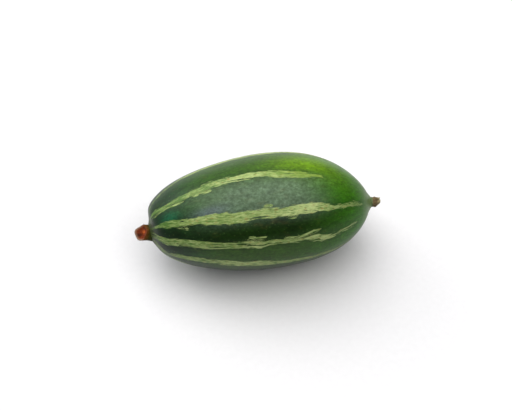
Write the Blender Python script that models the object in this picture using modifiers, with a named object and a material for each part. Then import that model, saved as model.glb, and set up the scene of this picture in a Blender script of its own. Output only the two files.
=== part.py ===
"""A pointed gourd: one fruit lying on its side, the torn stub of its stalk and its dry blossom tip.

Metres, +Z up. The fruit lies along X with the stalk end at -X, and rests on a small flat spot at z = 0.
The origin is the middle of the bottom of the whole gourd's bounding box.
"""

import math

import bmesh
import bpy
from mathutils import Matrix, Vector

MM = 0.001
GAP = 0.3 * MM  # between two pieces that meet

# The fruit, measured from pole to pole along its middle line
FRUIT_LENGTH = 83.3 * MM
FRUIT_DIAMETER = 44.2 * MM
FULLEST_SHIFT = 0.067  # of half the length, towards the tip
ROUNDNESS = 0.936  # power of the profile: under 1 is blunter than an ellipse, over 1 is more pointed
TAPER = 0.221  # what the power gains towards the tip and loses towards the stalk
SHOULDER = 0.145  # of the radius: how much fuller the stalk end is to +Y, and the tip end to -Y
BEND_RISE = 2.3 * MM  # how far the middle of the fruit stands out sideways, to +Y, from the line between its poles

# The skin's swells round the fruit: (waves in a full turn, height as a share of the radius, where one crest lies)
SWELLS = (
    (2, 0.010, math.radians(35.0)),
    (3, 0.006, math.radians(-60.0)),
    (10, 0.004, math.radians(14.0)),
)

# The skin rises to a low collar round the stalk, and to a small nipple under the blossom tip
COLLAR_HEIGHT = 0.9 * MM
COLLAR_RADIUS = 4.4 * MM
NIPPLE_HEIGHT = 0.8 * MM
NIPPLE_RADIUS = 3.0 * MM

# The flat spot that the fruit lies on
REST_DEPTH = 0.35 * MM

# The stub of the stalk, torn off on a slant that faces up, with a tongue left standing at its back
STUB_RADIUS = 3.2 * MM
STUB_RIM_RADIUS = 3.0 * MM
STUB_LENGTH = 3.5 * MM  # at its middle
STUB_ROOT = 1.6 * MM
STUB_SLANT = 0.71  # rise of the torn face over its width
STUB_DISH = 0.8 * MM  # how deep the torn face sinks in its middle
STUB_LIP = 0.5 * MM
STUB_CORNERS = 5
STUB_CORNER_HEIGHT = 0.055  # of the radius
STUB_CORNER_AT = math.radians(57.0)  # round the stub, from where its torn face looks
TONGUE_HEIGHT = 1.1 * MM
TONGUE_AT = math.radians(137.0)  # round the stub, from where its torn face looks
TORN_AROUND = math.radians(-3.0)  # where the torn face looks: 0 is up, a quarter turn is -Y
STUB_LEAN = 0.22  # how far its axis leans from the fruit's, as a slope
STUB_LEAN_AROUND = math.radians(-60.0)  # which way it leans: up and to +Y

# The dry tip where the flower was
TIP_RADIUS = 1.9 * MM
TIP_LENGTH = 3.2 * MM
TIP_ROOT = 1.3 * MM
TIP_FOLDS = 5
TIP_FOLD_HEIGHT = 0.09  # of the radius
TIP_FOLD_TWIST = math.radians(50.0)
TIP_LEAN = 0.25  # sideways drift of its point, as a share of its length
TIP_AROUND = math.radians(-20.0)  # where it leans: a little to the back of straight up

# How finely the round shapes are divided
FRUIT_RINGS = 48
FRUIT_SEGMENTS = 64
RINGS_AT_POLES = 0.6  # 0 spaces the rings evenly, and towards 1 they crowd round the poles
SMALL_SEGMENTS = 30
SOCKET_SEGMENTS = 40
SMOOTH_ANGLE = math.radians(40.0)

SKIN_GREEN = (0.035, 0.110, 0.025, 1.0)
STALK_ORANGE = (0.310, 0.085, 0.025, 1.0)
TIP_BROWN = (0.170, 0.110, 0.055, 1.0)

BEND_RADIUS = FRUIT_LENGTH**2 / (8 * BEND_RISE)


def clear_scene():
    """Empties the scene that Blender starts with."""
    for obj in list(bpy.data.objects):
        bpy.data.objects.remove(obj)


def new_collection(name):
    """A collection under the scene's own."""
    collection = bpy.data.collections.new(name)
    bpy.context.scene.collection.children.link(collection)
    return collection


def new_material(name, colour, roughness):
    """A plain finish for one piece. Nothing on a gourd is metal."""
    material = bpy.data.materials.new(name)
    material.use_nodes = True
    shader = material.node_tree.nodes["Principled BSDF"]
    shader.inputs["Base Color"].default_value = colour
    shader.inputs["Roughness"].default_value = roughness
    shader.inputs["Metallic"].default_value = 0.0
    return material


def new_piece(name, mesh, material, collection, parent):
    """An object for one piece of the gourd, smooth but for its sharp corners."""
    mesh.materials.clear()
    mesh.materials.append(material)
    mesh.shade_smooth()
    mesh.set_sharp_from_angle(angle=SMOOTH_ANGLE)
    piece = bpy.data.objects.new(name, mesh)
    collection.objects.link(piece)
    piece.parent = parent
    return piece


def around_direction(around):
    """Unit vector across the fruit at an angle round it: 0 is straight up and a quarter turn is -Y."""
    return Vector((0.0, -math.sin(around), math.cos(around)))


def section_swell(around):
    """How much wider or narrower than round the fruit is at an angle round it."""
    return 1 + sum(height * math.cos(waves * (around - crest)) for waves, height, crest in SWELLS)


def straight_skin(polar, around):
    """A point of the skin before the fruit is bent. The polar angle is 0 at the stalk and pi at the tip."""
    axial = -math.cos(polar)
    ring = max(math.sin(polar), 0.0)
    along = FRUIT_LENGTH / 2 * (axial + FULLEST_SHIFT * ring**2)
    radius = FRUIT_DIAMETER / 2 * ring ** (ROUNDNESS + TAPER * axial) * section_swell(around)
    radius *= 1 + SHOULDER * axial**3 * math.sin(around)
    if axial < 0:
        along -= COLLAR_HEIGHT * math.exp(-((radius / COLLAR_RADIUS) ** 4))
    else:
        along += NIPPLE_HEIGHT * math.exp(-((radius / NIPPLE_RADIUS) ** 4))
    return Vector((along, 0.0, 0.0)) + radius * around_direction(around)


def bent(point):
    """The point once the fruit's middle line is an arc in the level plane, with its ends towards -Y."""
    turn = point.x / BEND_RADIUS
    reach = BEND_RADIUS + point.y
    return Vector((reach * math.sin(turn), reach * math.cos(turn) - BEND_RADIUS, point.z))


def frame_at(along, outward, around):
    """A frame on the fruit's middle line: its Z points outward, and its X to the given angle round the fruit."""
    towards = around_direction(around)
    towards = (towards - towards.project(outward)).normalized()
    axes = Matrix((towards, outward.cross(towards), outward)).transposed()
    return Matrix.Translation(bent(Vector((along, 0.0, 0.0)))) @ axes.to_4x4()


def stub_frame():
    """Where the stub stands: on the stalk's pole, and leaning a little."""
    along = -FRUIT_LENGTH / 2
    turn = along / BEND_RADIUS
    outward = Vector((-math.cos(turn), math.sin(turn), 0.0)) + STUB_LEAN * around_direction(STUB_LEAN_AROUND)
    return frame_at(along, outward.normalized(), TORN_AROUND)


def tip_frame():
    """Where the blossom tip stands: on top of the nipple."""
    along = FRUIT_LENGTH / 2 + NIPPLE_HEIGHT
    turn = along / BEND_RADIUS
    return frame_at(along, Vector((math.cos(turn), -math.sin(turn), 0.0)), TIP_AROUND)


def crowded_polar(share):
    """The polar angle of a ring, for its share of the way from pole to pole."""
    return math.pi * (share - RINGS_AT_POLES * math.sin(2 * math.pi * share) / (2 * math.pi))


def fruit_mesh():
    """The fruit's skin, from a sphere whose points are moved to the gourd's own shape."""
    shell = bmesh.new()
    bmesh.ops.create_uvsphere(shell, u_segments=FRUIT_SEGMENTS, v_segments=FRUIT_RINGS, radius=1.0)
    for vertex in shell.verts:
        share = math.acos(max(-1.0, min(1.0, -vertex.co.z))) / math.pi
        around = math.atan2(vertex.co.y, vertex.co.x)
        vertex.co = bent(straight_skin(crowded_polar(share), around))
    bmesh.ops.recalc_face_normals(shell, faces=shell.faces)
    mesh = bpy.data.meshes.new("fruit")
    shell.to_mesh(mesh)
    shell.free()
    return mesh


def turned_mesh(name, profile):
    """A profile of (radius, height) points, from the top's middle down to the bottom's, turned round Z."""
    outline = bpy.data.meshes.new(name + "_profile")
    points = [(radius, 0.0, height) for radius, height in profile]
    outline.from_pydata(points, [(i, i + 1) for i in range(len(points) - 1)], [])
    guide = bpy.data.objects.new(name + "_profile", outline)
    bpy.context.scene.collection.objects.link(guide)
    turn = guide.modifiers.new("turn", "SCREW")
    turn.steps = turn.render_steps = SMALL_SEGMENTS
    turn.use_merge_vertices = True
    turn.merge_threshold = 1e-6
    evaluated = guide.evaluated_get(bpy.context.evaluated_depsgraph_get())
    mesh = bpy.data.meshes.new_from_object(evaluated)
    mesh.name = name
    bpy.data.objects.remove(guide)
    return mesh


def stub_mesh():
    """The torn stalk: a root, a five-cornered side that narrows to a rim, and a dished face on a slant."""
    waist = (STUB_RADIUS + STUB_RIM_RADIUS) / 2 - 0.15 * MM
    dish_radius = STUB_RIM_RADIUS - STUB_LIP
    profile = [(dish_radius * step / 4, STUB_LENGTH - STUB_DISH * (1 - (step / 4) ** 2)) for step in range(5)]
    profile += [
        (STUB_RIM_RADIUS - STUB_LIP / 2, STUB_LENGTH + 0.12 * MM),
        (STUB_RIM_RADIUS, STUB_LENGTH - 0.12 * MM),
        (waist, STUB_LENGTH * 0.66),
        (waist, STUB_LENGTH * 0.40),
        (STUB_RADIUS, STUB_LENGTH * 0.08),
        (STUB_RADIUS, 0.0),
        (STUB_RADIUS, -STUB_ROOT),
        (0.0, -STUB_ROOT),
    ]
    mesh = turned_mesh("stalk_stub", profile)
    for vertex in mesh.vertices:
        rise = max(vertex.co.z, 0.0) / STUB_LENGTH
        width = math.hypot(vertex.co.x, vertex.co.y) / STUB_RIM_RADIUS
        angle = math.atan2(vertex.co.y, vertex.co.x)
        corner = math.cos(STUB_CORNERS * (angle - STUB_CORNER_AT))
        tongue = TONGUE_HEIGHT * width * max(math.cos(angle - TONGUE_AT), 0.0) ** 3
        vertex.co.xy *= 1 + STUB_CORNER_HEIGHT * corner * min(rise * 2, 1.0)
        vertex.co.z += rise * (tongue - STUB_SLANT * vertex.co.x)
    return mesh


def tip_mesh():
    """The dry blossom tip: a root and a shrivelled, folded cone that leans as it narrows."""
    profile = [
        (0.0, TIP_LENGTH),
        (0.20 * TIP_RADIUS, 0.97 * TIP_LENGTH),
        (0.42 * TIP_RADIUS, 0.84 * TIP_LENGTH),
        (0.70 * TIP_RADIUS, 0.62 * TIP_LENGTH),
        (0.96 * TIP_RADIUS, 0.40 * TIP_LENGTH),
        (1.04 * TIP_RADIUS, 0.22 * TIP_LENGTH),
        (TIP_RADIUS, 0.0),
        (TIP_RADIUS, -TIP_ROOT),
        (0.0, -TIP_ROOT),
    ]
    mesh = turned_mesh("blossom_tip", profile)
    for vertex in mesh.vertices:
        rise = max(vertex.co.z, 0.0) / TIP_LENGTH
        fold = math.cos(TIP_FOLDS * math.atan2(vertex.co.y, vertex.co.x) + TIP_FOLD_TWIST * rise)
        vertex.co.xy *= 1 + TIP_FOLD_HEIGHT * fold * min(rise * 3, 1.0)
        vertex.co.x += TIP_LEAN * TIP_LENGTH * rise**2
    return mesh


def new_cutter(name, mesh, collection, parent, frame):
    """A shape that is only cut out of the fruit, and is never shown."""
    cutter = bpy.data.objects.new(name, mesh)
    collection.objects.link(cutter)
    cutter.parent = parent
    cutter.matrix_local = frame
    cutter.hide_render = True
    cutter.display_type = "WIRE"
    return cutter


def socket_mesh(name, radius, depth):
    """A round socket that a small piece's root stands in, long enough to reach well out of the skin."""
    clearance = 4 * depth
    shape = bmesh.new()
    bmesh.ops.create_cone(
        shape,
        cap_ends=True,
        segments=SOCKET_SEGMENTS,
        radius1=radius,
        radius2=radius,
        depth=depth + clearance,
        matrix=Matrix.Translation((0.0, 0.0, (clearance - depth) / 2)),
    )
    mesh = bpy.data.meshes.new(name)
    shape.to_mesh(mesh)
    shape.free()
    return mesh


def ground_mesh():
    """A block whose top is the plane that the fruit rests on."""
    side = 2 * FRUIT_LENGTH
    shape = bmesh.new()
    bmesh.ops.create_cube(shape, size=side, matrix=Matrix.Translation((0.0, 0.0, -side / 2)))
    mesh = bpy.data.meshes.new("ground_cutter")
    shape.to_mesh(mesh)
    shape.free()
    return mesh


def cut(piece, cutter):
    """Takes the cutter's shape out of the piece."""
    boolean = piece.modifiers.new(cutter.name, "BOOLEAN")
    boolean.operation = "DIFFERENCE"
    boolean.solver = "EXACT"
    boolean.object = cutter


def world_points(pieces):
    """Every point of these pieces' finished meshes, in world space."""
    graph = bpy.context.evaluated_depsgraph_get()
    for piece in pieces:
        evaluated = piece.evaluated_get(graph)
        for vertex in evaluated.to_mesh().vertices:
            yield evaluated.matrix_world @ vertex.co
        evaluated.to_mesh_clear()


def centre_on_origin(root, pieces):
    """Moves the gourd level, until the middle of its bounding box stands over the origin."""
    points = list(world_points(pieces))
    for axis in (0, 1):
        places = [point[axis] for point in points]
        root.location[axis] -= (min(places) + max(places)) / 2


def main():
    """Builds the gourd's three pieces, cuts the fruit to take the other two, and stands it on the origin."""
    clear_scene()
    gourd = new_collection("pointed_gourd")
    cutters = new_collection("cutters")

    root = bpy.data.objects.new("gourd", None)
    gourd.objects.link(root)

    skin = fruit_mesh()
    fruit = new_piece("fruit", skin, new_material("skin", SKIN_GREEN, 0.38), gourd, root)
    root.location.z = -min(vertex.co.z for vertex in skin.vertices) - REST_DEPTH

    stub = new_piece("stalk_stub", stub_mesh(), new_material("stalk", STALK_ORANGE, 0.55), gourd, root)
    stub.matrix_local = stub_frame()
    tip = new_piece("blossom_tip", tip_mesh(), new_material("dry_tip", TIP_BROWN, 0.80), gourd, root)
    tip.matrix_local = tip_frame()

    stub_socket = socket_mesh("stub_socket", STUB_RADIUS + GAP, STUB_ROOT + GAP)
    cut(fruit, new_cutter("stub_socket", stub_socket, cutters, root, stub_frame()))
    tip_socket = socket_mesh("tip_socket", TIP_RADIUS + GAP, TIP_ROOT + GAP)
    cut(fruit, new_cutter("tip_socket", tip_socket, cutters, root, tip_frame()))
    cut(fruit, new_cutter("ground_cutter", ground_mesh(), cutters, None, Matrix.Identity(4)))

    centre_on_origin(root, [fruit, stub, tip])


if __name__ == "__main__":
    main()
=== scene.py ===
"""The looks of a pointed gourd: its striped waxy rind, the torn stub of its stalk and its dry blossom tip.

Metres, +Z up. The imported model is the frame: the fruit lies along X with its stalk at -X and rests on z = 0.
The three pieces made here keep the form of the model's solids, and stand in their places.
"""

import logging
import math
from collections.abc import Callable, Iterable
from dataclasses import dataclass, field
from enum import Enum
from functools import partial

import bmesh
import bpy
from mathutils import Matrix, Vector, noise

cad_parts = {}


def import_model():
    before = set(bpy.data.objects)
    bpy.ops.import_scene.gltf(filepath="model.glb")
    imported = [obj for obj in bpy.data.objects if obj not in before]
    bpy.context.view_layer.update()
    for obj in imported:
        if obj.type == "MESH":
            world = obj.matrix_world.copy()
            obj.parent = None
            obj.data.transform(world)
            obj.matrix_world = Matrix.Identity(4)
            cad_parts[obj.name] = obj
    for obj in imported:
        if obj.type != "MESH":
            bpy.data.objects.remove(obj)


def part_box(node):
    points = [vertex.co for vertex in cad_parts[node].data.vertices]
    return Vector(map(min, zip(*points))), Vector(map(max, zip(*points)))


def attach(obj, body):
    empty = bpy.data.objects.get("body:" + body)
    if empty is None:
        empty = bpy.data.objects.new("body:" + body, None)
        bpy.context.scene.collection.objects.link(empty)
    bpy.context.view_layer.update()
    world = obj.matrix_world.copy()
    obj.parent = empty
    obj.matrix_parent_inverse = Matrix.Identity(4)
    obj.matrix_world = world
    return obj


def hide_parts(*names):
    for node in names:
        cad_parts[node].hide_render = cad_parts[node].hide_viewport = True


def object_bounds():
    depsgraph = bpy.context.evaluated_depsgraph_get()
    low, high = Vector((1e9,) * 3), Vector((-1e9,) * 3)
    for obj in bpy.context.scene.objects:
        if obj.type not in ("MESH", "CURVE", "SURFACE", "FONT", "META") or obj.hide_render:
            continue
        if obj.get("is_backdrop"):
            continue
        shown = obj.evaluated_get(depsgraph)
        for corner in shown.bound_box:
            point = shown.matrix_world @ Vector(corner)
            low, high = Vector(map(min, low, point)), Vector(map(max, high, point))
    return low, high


LOG = logging.getLogger("pointed_gourd")

MM = 0.001
BODY = "root"

MATH = "ShaderNodeMath"
VECTOR_MATH = "ShaderNodeVectorMath"
MIX = "ShaderNodeMix"
NOISE = "ShaderNodeTexNoise"
RANGE = "ShaderNodeMapRange"  # takes a value, the two ends of its range, and what they become
BUMP = "ShaderNodeBump"
RANDOM = "FunctionNodeRandomValue"

Tree = bpy.types.NodeTree
Node = bpy.types.Node
Socket = bpy.types.NodeSocket
Material = bpy.types.Material
Mesh = bpy.types.Mesh
Piece = bpy.types.Object
Add = Callable[..., Node]  # add_node for one tree
Box = tuple[Vector, Vector]  # its lowest and its highest corner
Size = tuple[float, float]
Colour = tuple[float, float, float, float]  # linear red, green and blue, and alpha
Span = tuple[float, float, float, float]  # where it starts and is full, and how much at each
Points = tuple[tuple[float, float], ...]

STRIPE_APART = 60.0  # mm: more than any stripe is wide, so that no two stripes share a pattern
FAR_OUTSIDE = -99.0  # mm: further from a stripe's edge than any point is
HALF_TURNS = ("WRAP", math.pi, -math.pi)  # brings an angle to within half a turn either way
NO_WIDTH = -2.0  # mm: a fleck's width beyond its ends, where nothing of it shows

# A Mix node's sockets for colours
UNDER = 6
OVER = 7
MIXED = 2

# What each finish reads from its piece's mesh, and the output that gives it
FRUIT_ATTRIBUTES = {
    "rind": "Vector",  # millimetres round and along the rind
    "stripe_place": "Vector",  # millimetres across and along the nearest stripe
    "stripe_edge": "Fac",  # millimetres inside the nearest stripe's edge, below 0 outside it
    "stripe_looseness": "Fac",  # that stripe's habit
    "stripe_tone": "Fac",  # how pale that stripe is here
    "share": "Fac",  # of the way from stalk to tip
    "blush": "Fac",  # how far the rind has ripened to yellow
    "depth": "Fac",  # painted shade: how much darker its green is on the lower front band
    "haze": "Fac",  # painted sheen: how thick the grey is where the overhead light's broad sheen lies
    "veil": "Fac",  # painted reflection: how thick the cool blue-grey by the second stripe is
    "teal": "Fac",  # painted reflection: how blue its green is beside the stalk
    "belly": "Fac",  # painted shade: how far it is on the underside
}
STUB_ATTRIBUTES = {
    "torn_at": "Vector",  # millimetres across the torn face
    "on_face": "Fac",
    "on_rim": "Fac",
    "rise": "Fac",  # share of the way up
}
# The tip's share inside its hollow and how deep in a fold's crease it is carry painted shade; rise is its
# share up
TIP_ATTRIBUTES = {"inside": "Fac", "rise": "Fac", "crease": "Fac"}


def srgb(hex_colour: str) -> Colour:
    """Turns an sRGB colour to the linear values that the shaders take.

    Args:
        hex_colour: the colour, written as "#rrggbb".

    Returns:
        Linear red, green and blue, and an alpha of 1.
    """
    channels = [int(hex_colour[place : place + 2], 16) / 255 for place in (1, 3, 5)]
    linear = [c / 12.92 if c <= 0.04045 else ((c + 0.055) / 1.055) ** 2.4 for c in channels]
    return (*linear, 1.0)


def set_inputs(tree: Tree, node: Node, inputs: object) -> None:
    """Gives a node's inputs their values and links.

    Args:
        tree: the node's tree.
        node: the node.
        inputs: what each input takes, in order or by its name or number: a value, an output socket, or a node
            whose first output is meant.
    """
    for key, value in inputs.items() if isinstance(inputs, dict) else enumerate(inputs):
        source = value.outputs[0] if isinstance(value, Node) else value
        if isinstance(source, Socket):
            tree.links.new(source, node.inputs[key])
        else:
            node.inputs[key].default_value = source


def add_node(tree: Tree, kind: str, inputs: object = (), operation: str = "", **settings: object) -> Node:
    """Adds a node to a tree, with its settings, its inputs' values and its links.

    Args:
        tree: the tree that it goes in.
        kind: Blender's name for the type of node.
        inputs: what its inputs take, as set_inputs has it.
        operation: what the node does, where its type has a choice.
        settings: the node's other properties.

    Returns:
        The new node.
    """
    node = tree.nodes.new(kind)
    if operation:
        settings["operation"] = operation
    for name, value in settings.items():
        setattr(node, name, value)
    set_inputs(tree, node, inputs)
    return node


def chain(add: Add, kind: str, value: object, *steps: tuple) -> Node:
    """Puts a value through nodes of one type, each of which takes what the last one gives.

    Args:
        add: adds a node to the tree.
        kind: the nodes' type.
        value: what the first one takes.
        steps: each node's operation, and what its other inputs take.

    Returns:
        The last node.
    """
    for operation, *others in steps:
        value = add(kind, (value, *others), operation)
    return value


def layered(add: Add, colour: object, layers: Iterable[tuple[object, object]]) -> Socket:
    """Lays colours one over another.

    Args:
        add: adds a node to the tree.
        colour: the lowest colour.
        layers: each colour over it, as a hex colour or a socket, and how much of it shows.

    Returns:
        What is seen of them all.
    """
    for over, amount in layers:
        paint = srgb(over) if isinstance(over, str) else over
        colour = add(MIX, {0: amount, UNDER: colour, OVER: paint}, data_type="RGBA").outputs[MIXED]
    return colour


def new_material(name: str, attributes: dict[str, str]) -> tuple[Material, Add, dict[str, Socket]]:
    """Starts a material.

    Args:
        name: its name.
        attributes: the attributes that it reads, and the output that gives each.

    Returns:
        The material, what adds a node to its tree, and what it reads: the attributes by their names, and as
        "place" the point on the object.
    """
    material = bpy.data.materials.new(name)
    material.use_nodes = True
    add = partial(add_node, material.node_tree)
    read = {"place": add("ShaderNodeTexCoord").outputs["Object"]}
    for attribute, output in attributes.items():
        read[attribute] = add("ShaderNodeAttribute", attribute_name=attribute).outputs[output]
    return material, add, read


def give_surface(material: Material, surface: dict[str, object]) -> Material:
    """Gives a material's shader what its inputs take, by their names, and hands the material back."""
    tree = material.node_tree
    set_inputs(tree, tree.nodes["Principled BSDF"], surface)
    return material


def new_geometry_tree(name: str, sizes: dict[str, float]) -> tuple[Tree, Add, dict[str, Socket]]:
    """Starts a Geometry Nodes tree whose sizes and finish are named inputs.

    Args:
        name: the tree's name.
        sizes: each size by its name. A whole number makes an integer input.

    Returns:
        The tree, what adds a node to it, and its inputs by name.
    """
    tree = bpy.data.node_groups.new(name, "GeometryNodeTree")
    for label, value in sizes.items():
        kind = "NodeSocketInt" if isinstance(value, int) else "NodeSocketFloat"
        tree.interface.new_socket(label, in_out="INPUT", socket_type=kind)
    tree.interface.new_socket("Finish", in_out="INPUT", socket_type="NodeSocketMaterial")
    tree.interface.new_socket("Geometry", in_out="OUTPUT", socket_type="NodeSocketGeometry")
    add = partial(add_node, tree)
    return tree, add, {socket.name: socket for socket in add("NodeGroupInput").outputs}


def close_geometry_tree(add: Add, geometry: Node, finish: Socket) -> None:
    """Ends a tree: smooth faces, real meshes in place of instances, and the finish.

    Args:
        add: adds a node to the tree.
        geometry: the node whose first output is the made shape.
        finish: the socket that gives the material.
    """
    smooth = add("GeometryNodeSetShadeSmooth", {"Geometry": geometry})
    real = add("GeometryNodeRealizeInstances", {"Geometry": smooth})
    dressed = add("GeometryNodeSetMaterial", {"Geometry": real, "Material": finish})
    add("NodeGroupOutput", {"Geometry": dressed})


def put_in_scene(name: str, data: object) -> Piece:
    """Makes an object of a mesh, a lamp or a camera, and puts it in the scene."""
    made = bpy.data.objects.new(name, data)
    bpy.context.scene.collection.objects.link(made)
    return made


def mesh_from_tree(tree: Tree, sizes: dict[str, float], finish: Material) -> Mesh:
    """Runs a Geometry Nodes tree once and keeps its result as a plain mesh.

    Args:
        tree: the tree.
        sizes: the value of each named input.
        finish: the material that the tree sets.

    Returns:
        The mesh, with its attributes.
    """
    carrier = put_in_scene(tree.name, bpy.data.meshes.new(tree.name))
    maker = carrier.modifiers.new(tree.name, "NODES")
    maker.node_group = tree
    values = {**sizes, "Finish": finish}
    for item in tree.interface.items_tree:
        if item.in_out == "INPUT":
            maker[item.identifier] = values[item.name]
    carrier.update_tag()
    evaluated = carrier.evaluated_get(bpy.context.evaluated_depsgraph_get())
    mesh = bpy.data.meshes.new_from_object(evaluated)
    bpy.data.objects.remove(carrier)
    return mesh


def keep_within(mesh: Mesh, box: Box) -> None:
    """Brings the points that reach out of a box back to its sides. Its floor is where the gourd rests.

    Args:
        mesh: the mesh, in its place.
        box: the lowest and the highest corner.
    """
    low, high = box
    for vertex in mesh.vertices:
        vertex.co = Vector(map(min, high, map(max, low, vertex.co)))


def add_piece(name: str, mesh: Mesh, slot: str, node: str, box: Box) -> Piece:
    """Puts a finished mesh in the scene as one piece, which rides on the gourd and stands for its solid.

    Args:
        name: the piece's name.
        mesh: the mesh, with its material and already in its place.
        slot: the record's material slot.
        node: the solid that it replaces.
        box: the box of all the solids, which the piece stays within.

    Returns:
        The piece.
    """
    keep_within(mesh, box)
    mesh.name = name
    piece = put_in_scene(name, mesh)
    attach(piece, BODY)
    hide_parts(node)
    LOG.info("%s: %d faces, slot %s", name, len(mesh.polygons), slot)
    return piece


class End(Enum):
    """The two ends of the fruit, by the sign of their place along it."""

    STALK = -1.0
    TIP = 1.0


class Habit(Enum):
    """How a stripe breaks up: what the loose grain in it takes off its width, in millimetres."""

    WHOLE = 0.7
    FEATHERED = 1.6
    BROKEN = 2.1


# How pale a stripe is, from -1, nearly as green as the rind, to 1, cream
USUAL_TONE: Points = ((0.05, -0.6), (0.40, 0.4), (0.70, 0.1), (0.90, -0.2))


@dataclass(frozen=True)
class Stripe:
    """A pale stripe that runs along the rind from stalk to tip.

    Its course, width and tone are points of (share of the way from stalk to tip, value).
    """

    course: Points  # degrees round the fruit: 0 is up and 90 is -Y
    width: Points  # millimetres: below 0, there is no stripe
    habit: Habit
    tone: Points = USUAL_TONE


def fleck(around: float, start: float, end: float, width: float, tone: float) -> Stripe:
    """A short bit that has broken away from a stripe.

    Args:
        around: degrees round the fruit.
        start: the share of the way along where it starts.
        end: where it ends.
        width: millimetres at its middle.
        tone: how pale it is.

    Returns:
        The fleck, as a stripe that is there only from start to end.
    """
    quarter = (end - start) / 4
    middle = ((start + quarter, width), (end - quarter, width))
    spread = ((start - quarter, NO_WIDTH), *middle, (end + quarter, NO_WIDTH))
    return Stripe(((start, around), (end, around)), spread, Habit.WHOLE, ((start, tone), (end, tone)))


# What a stripe on the hidden sides is taken to do: as wide as those in sight, and fading out before the tip
USUAL_WIDTH: Points = (
    (0.02, 1.3), (0.15, 3.0), (0.24, 2.2), (0.34, 3.9), (0.46, 3.0), (0.60, 4.0), (0.72, 3.0), (0.85, 1.6),
    (0.93, -2.5),
)


@dataclass(frozen=True)
class Patch:
    """A soft patch of the rind, thickest in its middle."""

    name: str  # the attribute that it is stored as
    around: float  # degrees round the fruit
    share: float  # of the way from stalk to tip
    size: Size  # mm round, and share along
    steepness: float  # 2 is a bell, more is level with steep sides


PATCHES = (
    Patch("blush", -22.0, 0.70, (7.5, 0.17), 2.0),
    # painted shade: a darker band on the lower front side, between the stripes at 30 and 60 degrees
    Patch("depth", 45.0, 0.37, (6.4, 0.44), 4.0),
    # painted sheen: grey on the band between the stripes at -10 and 30 degrees, under the overhead light
    Patch("haze", 16.0, 0.47, (8.0, 0.27), 4.0),
    # painted reflection: a cool blue-grey patch by the second stripe
    Patch("veil", 20.0, 0.24, (2.0, 0.07), 2.0),
    # painted reflection: a cool teal patch beside the stalk
    Patch("teal", 13.0, 0.08, (2.2, 0.032), 2.0),
)

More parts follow.
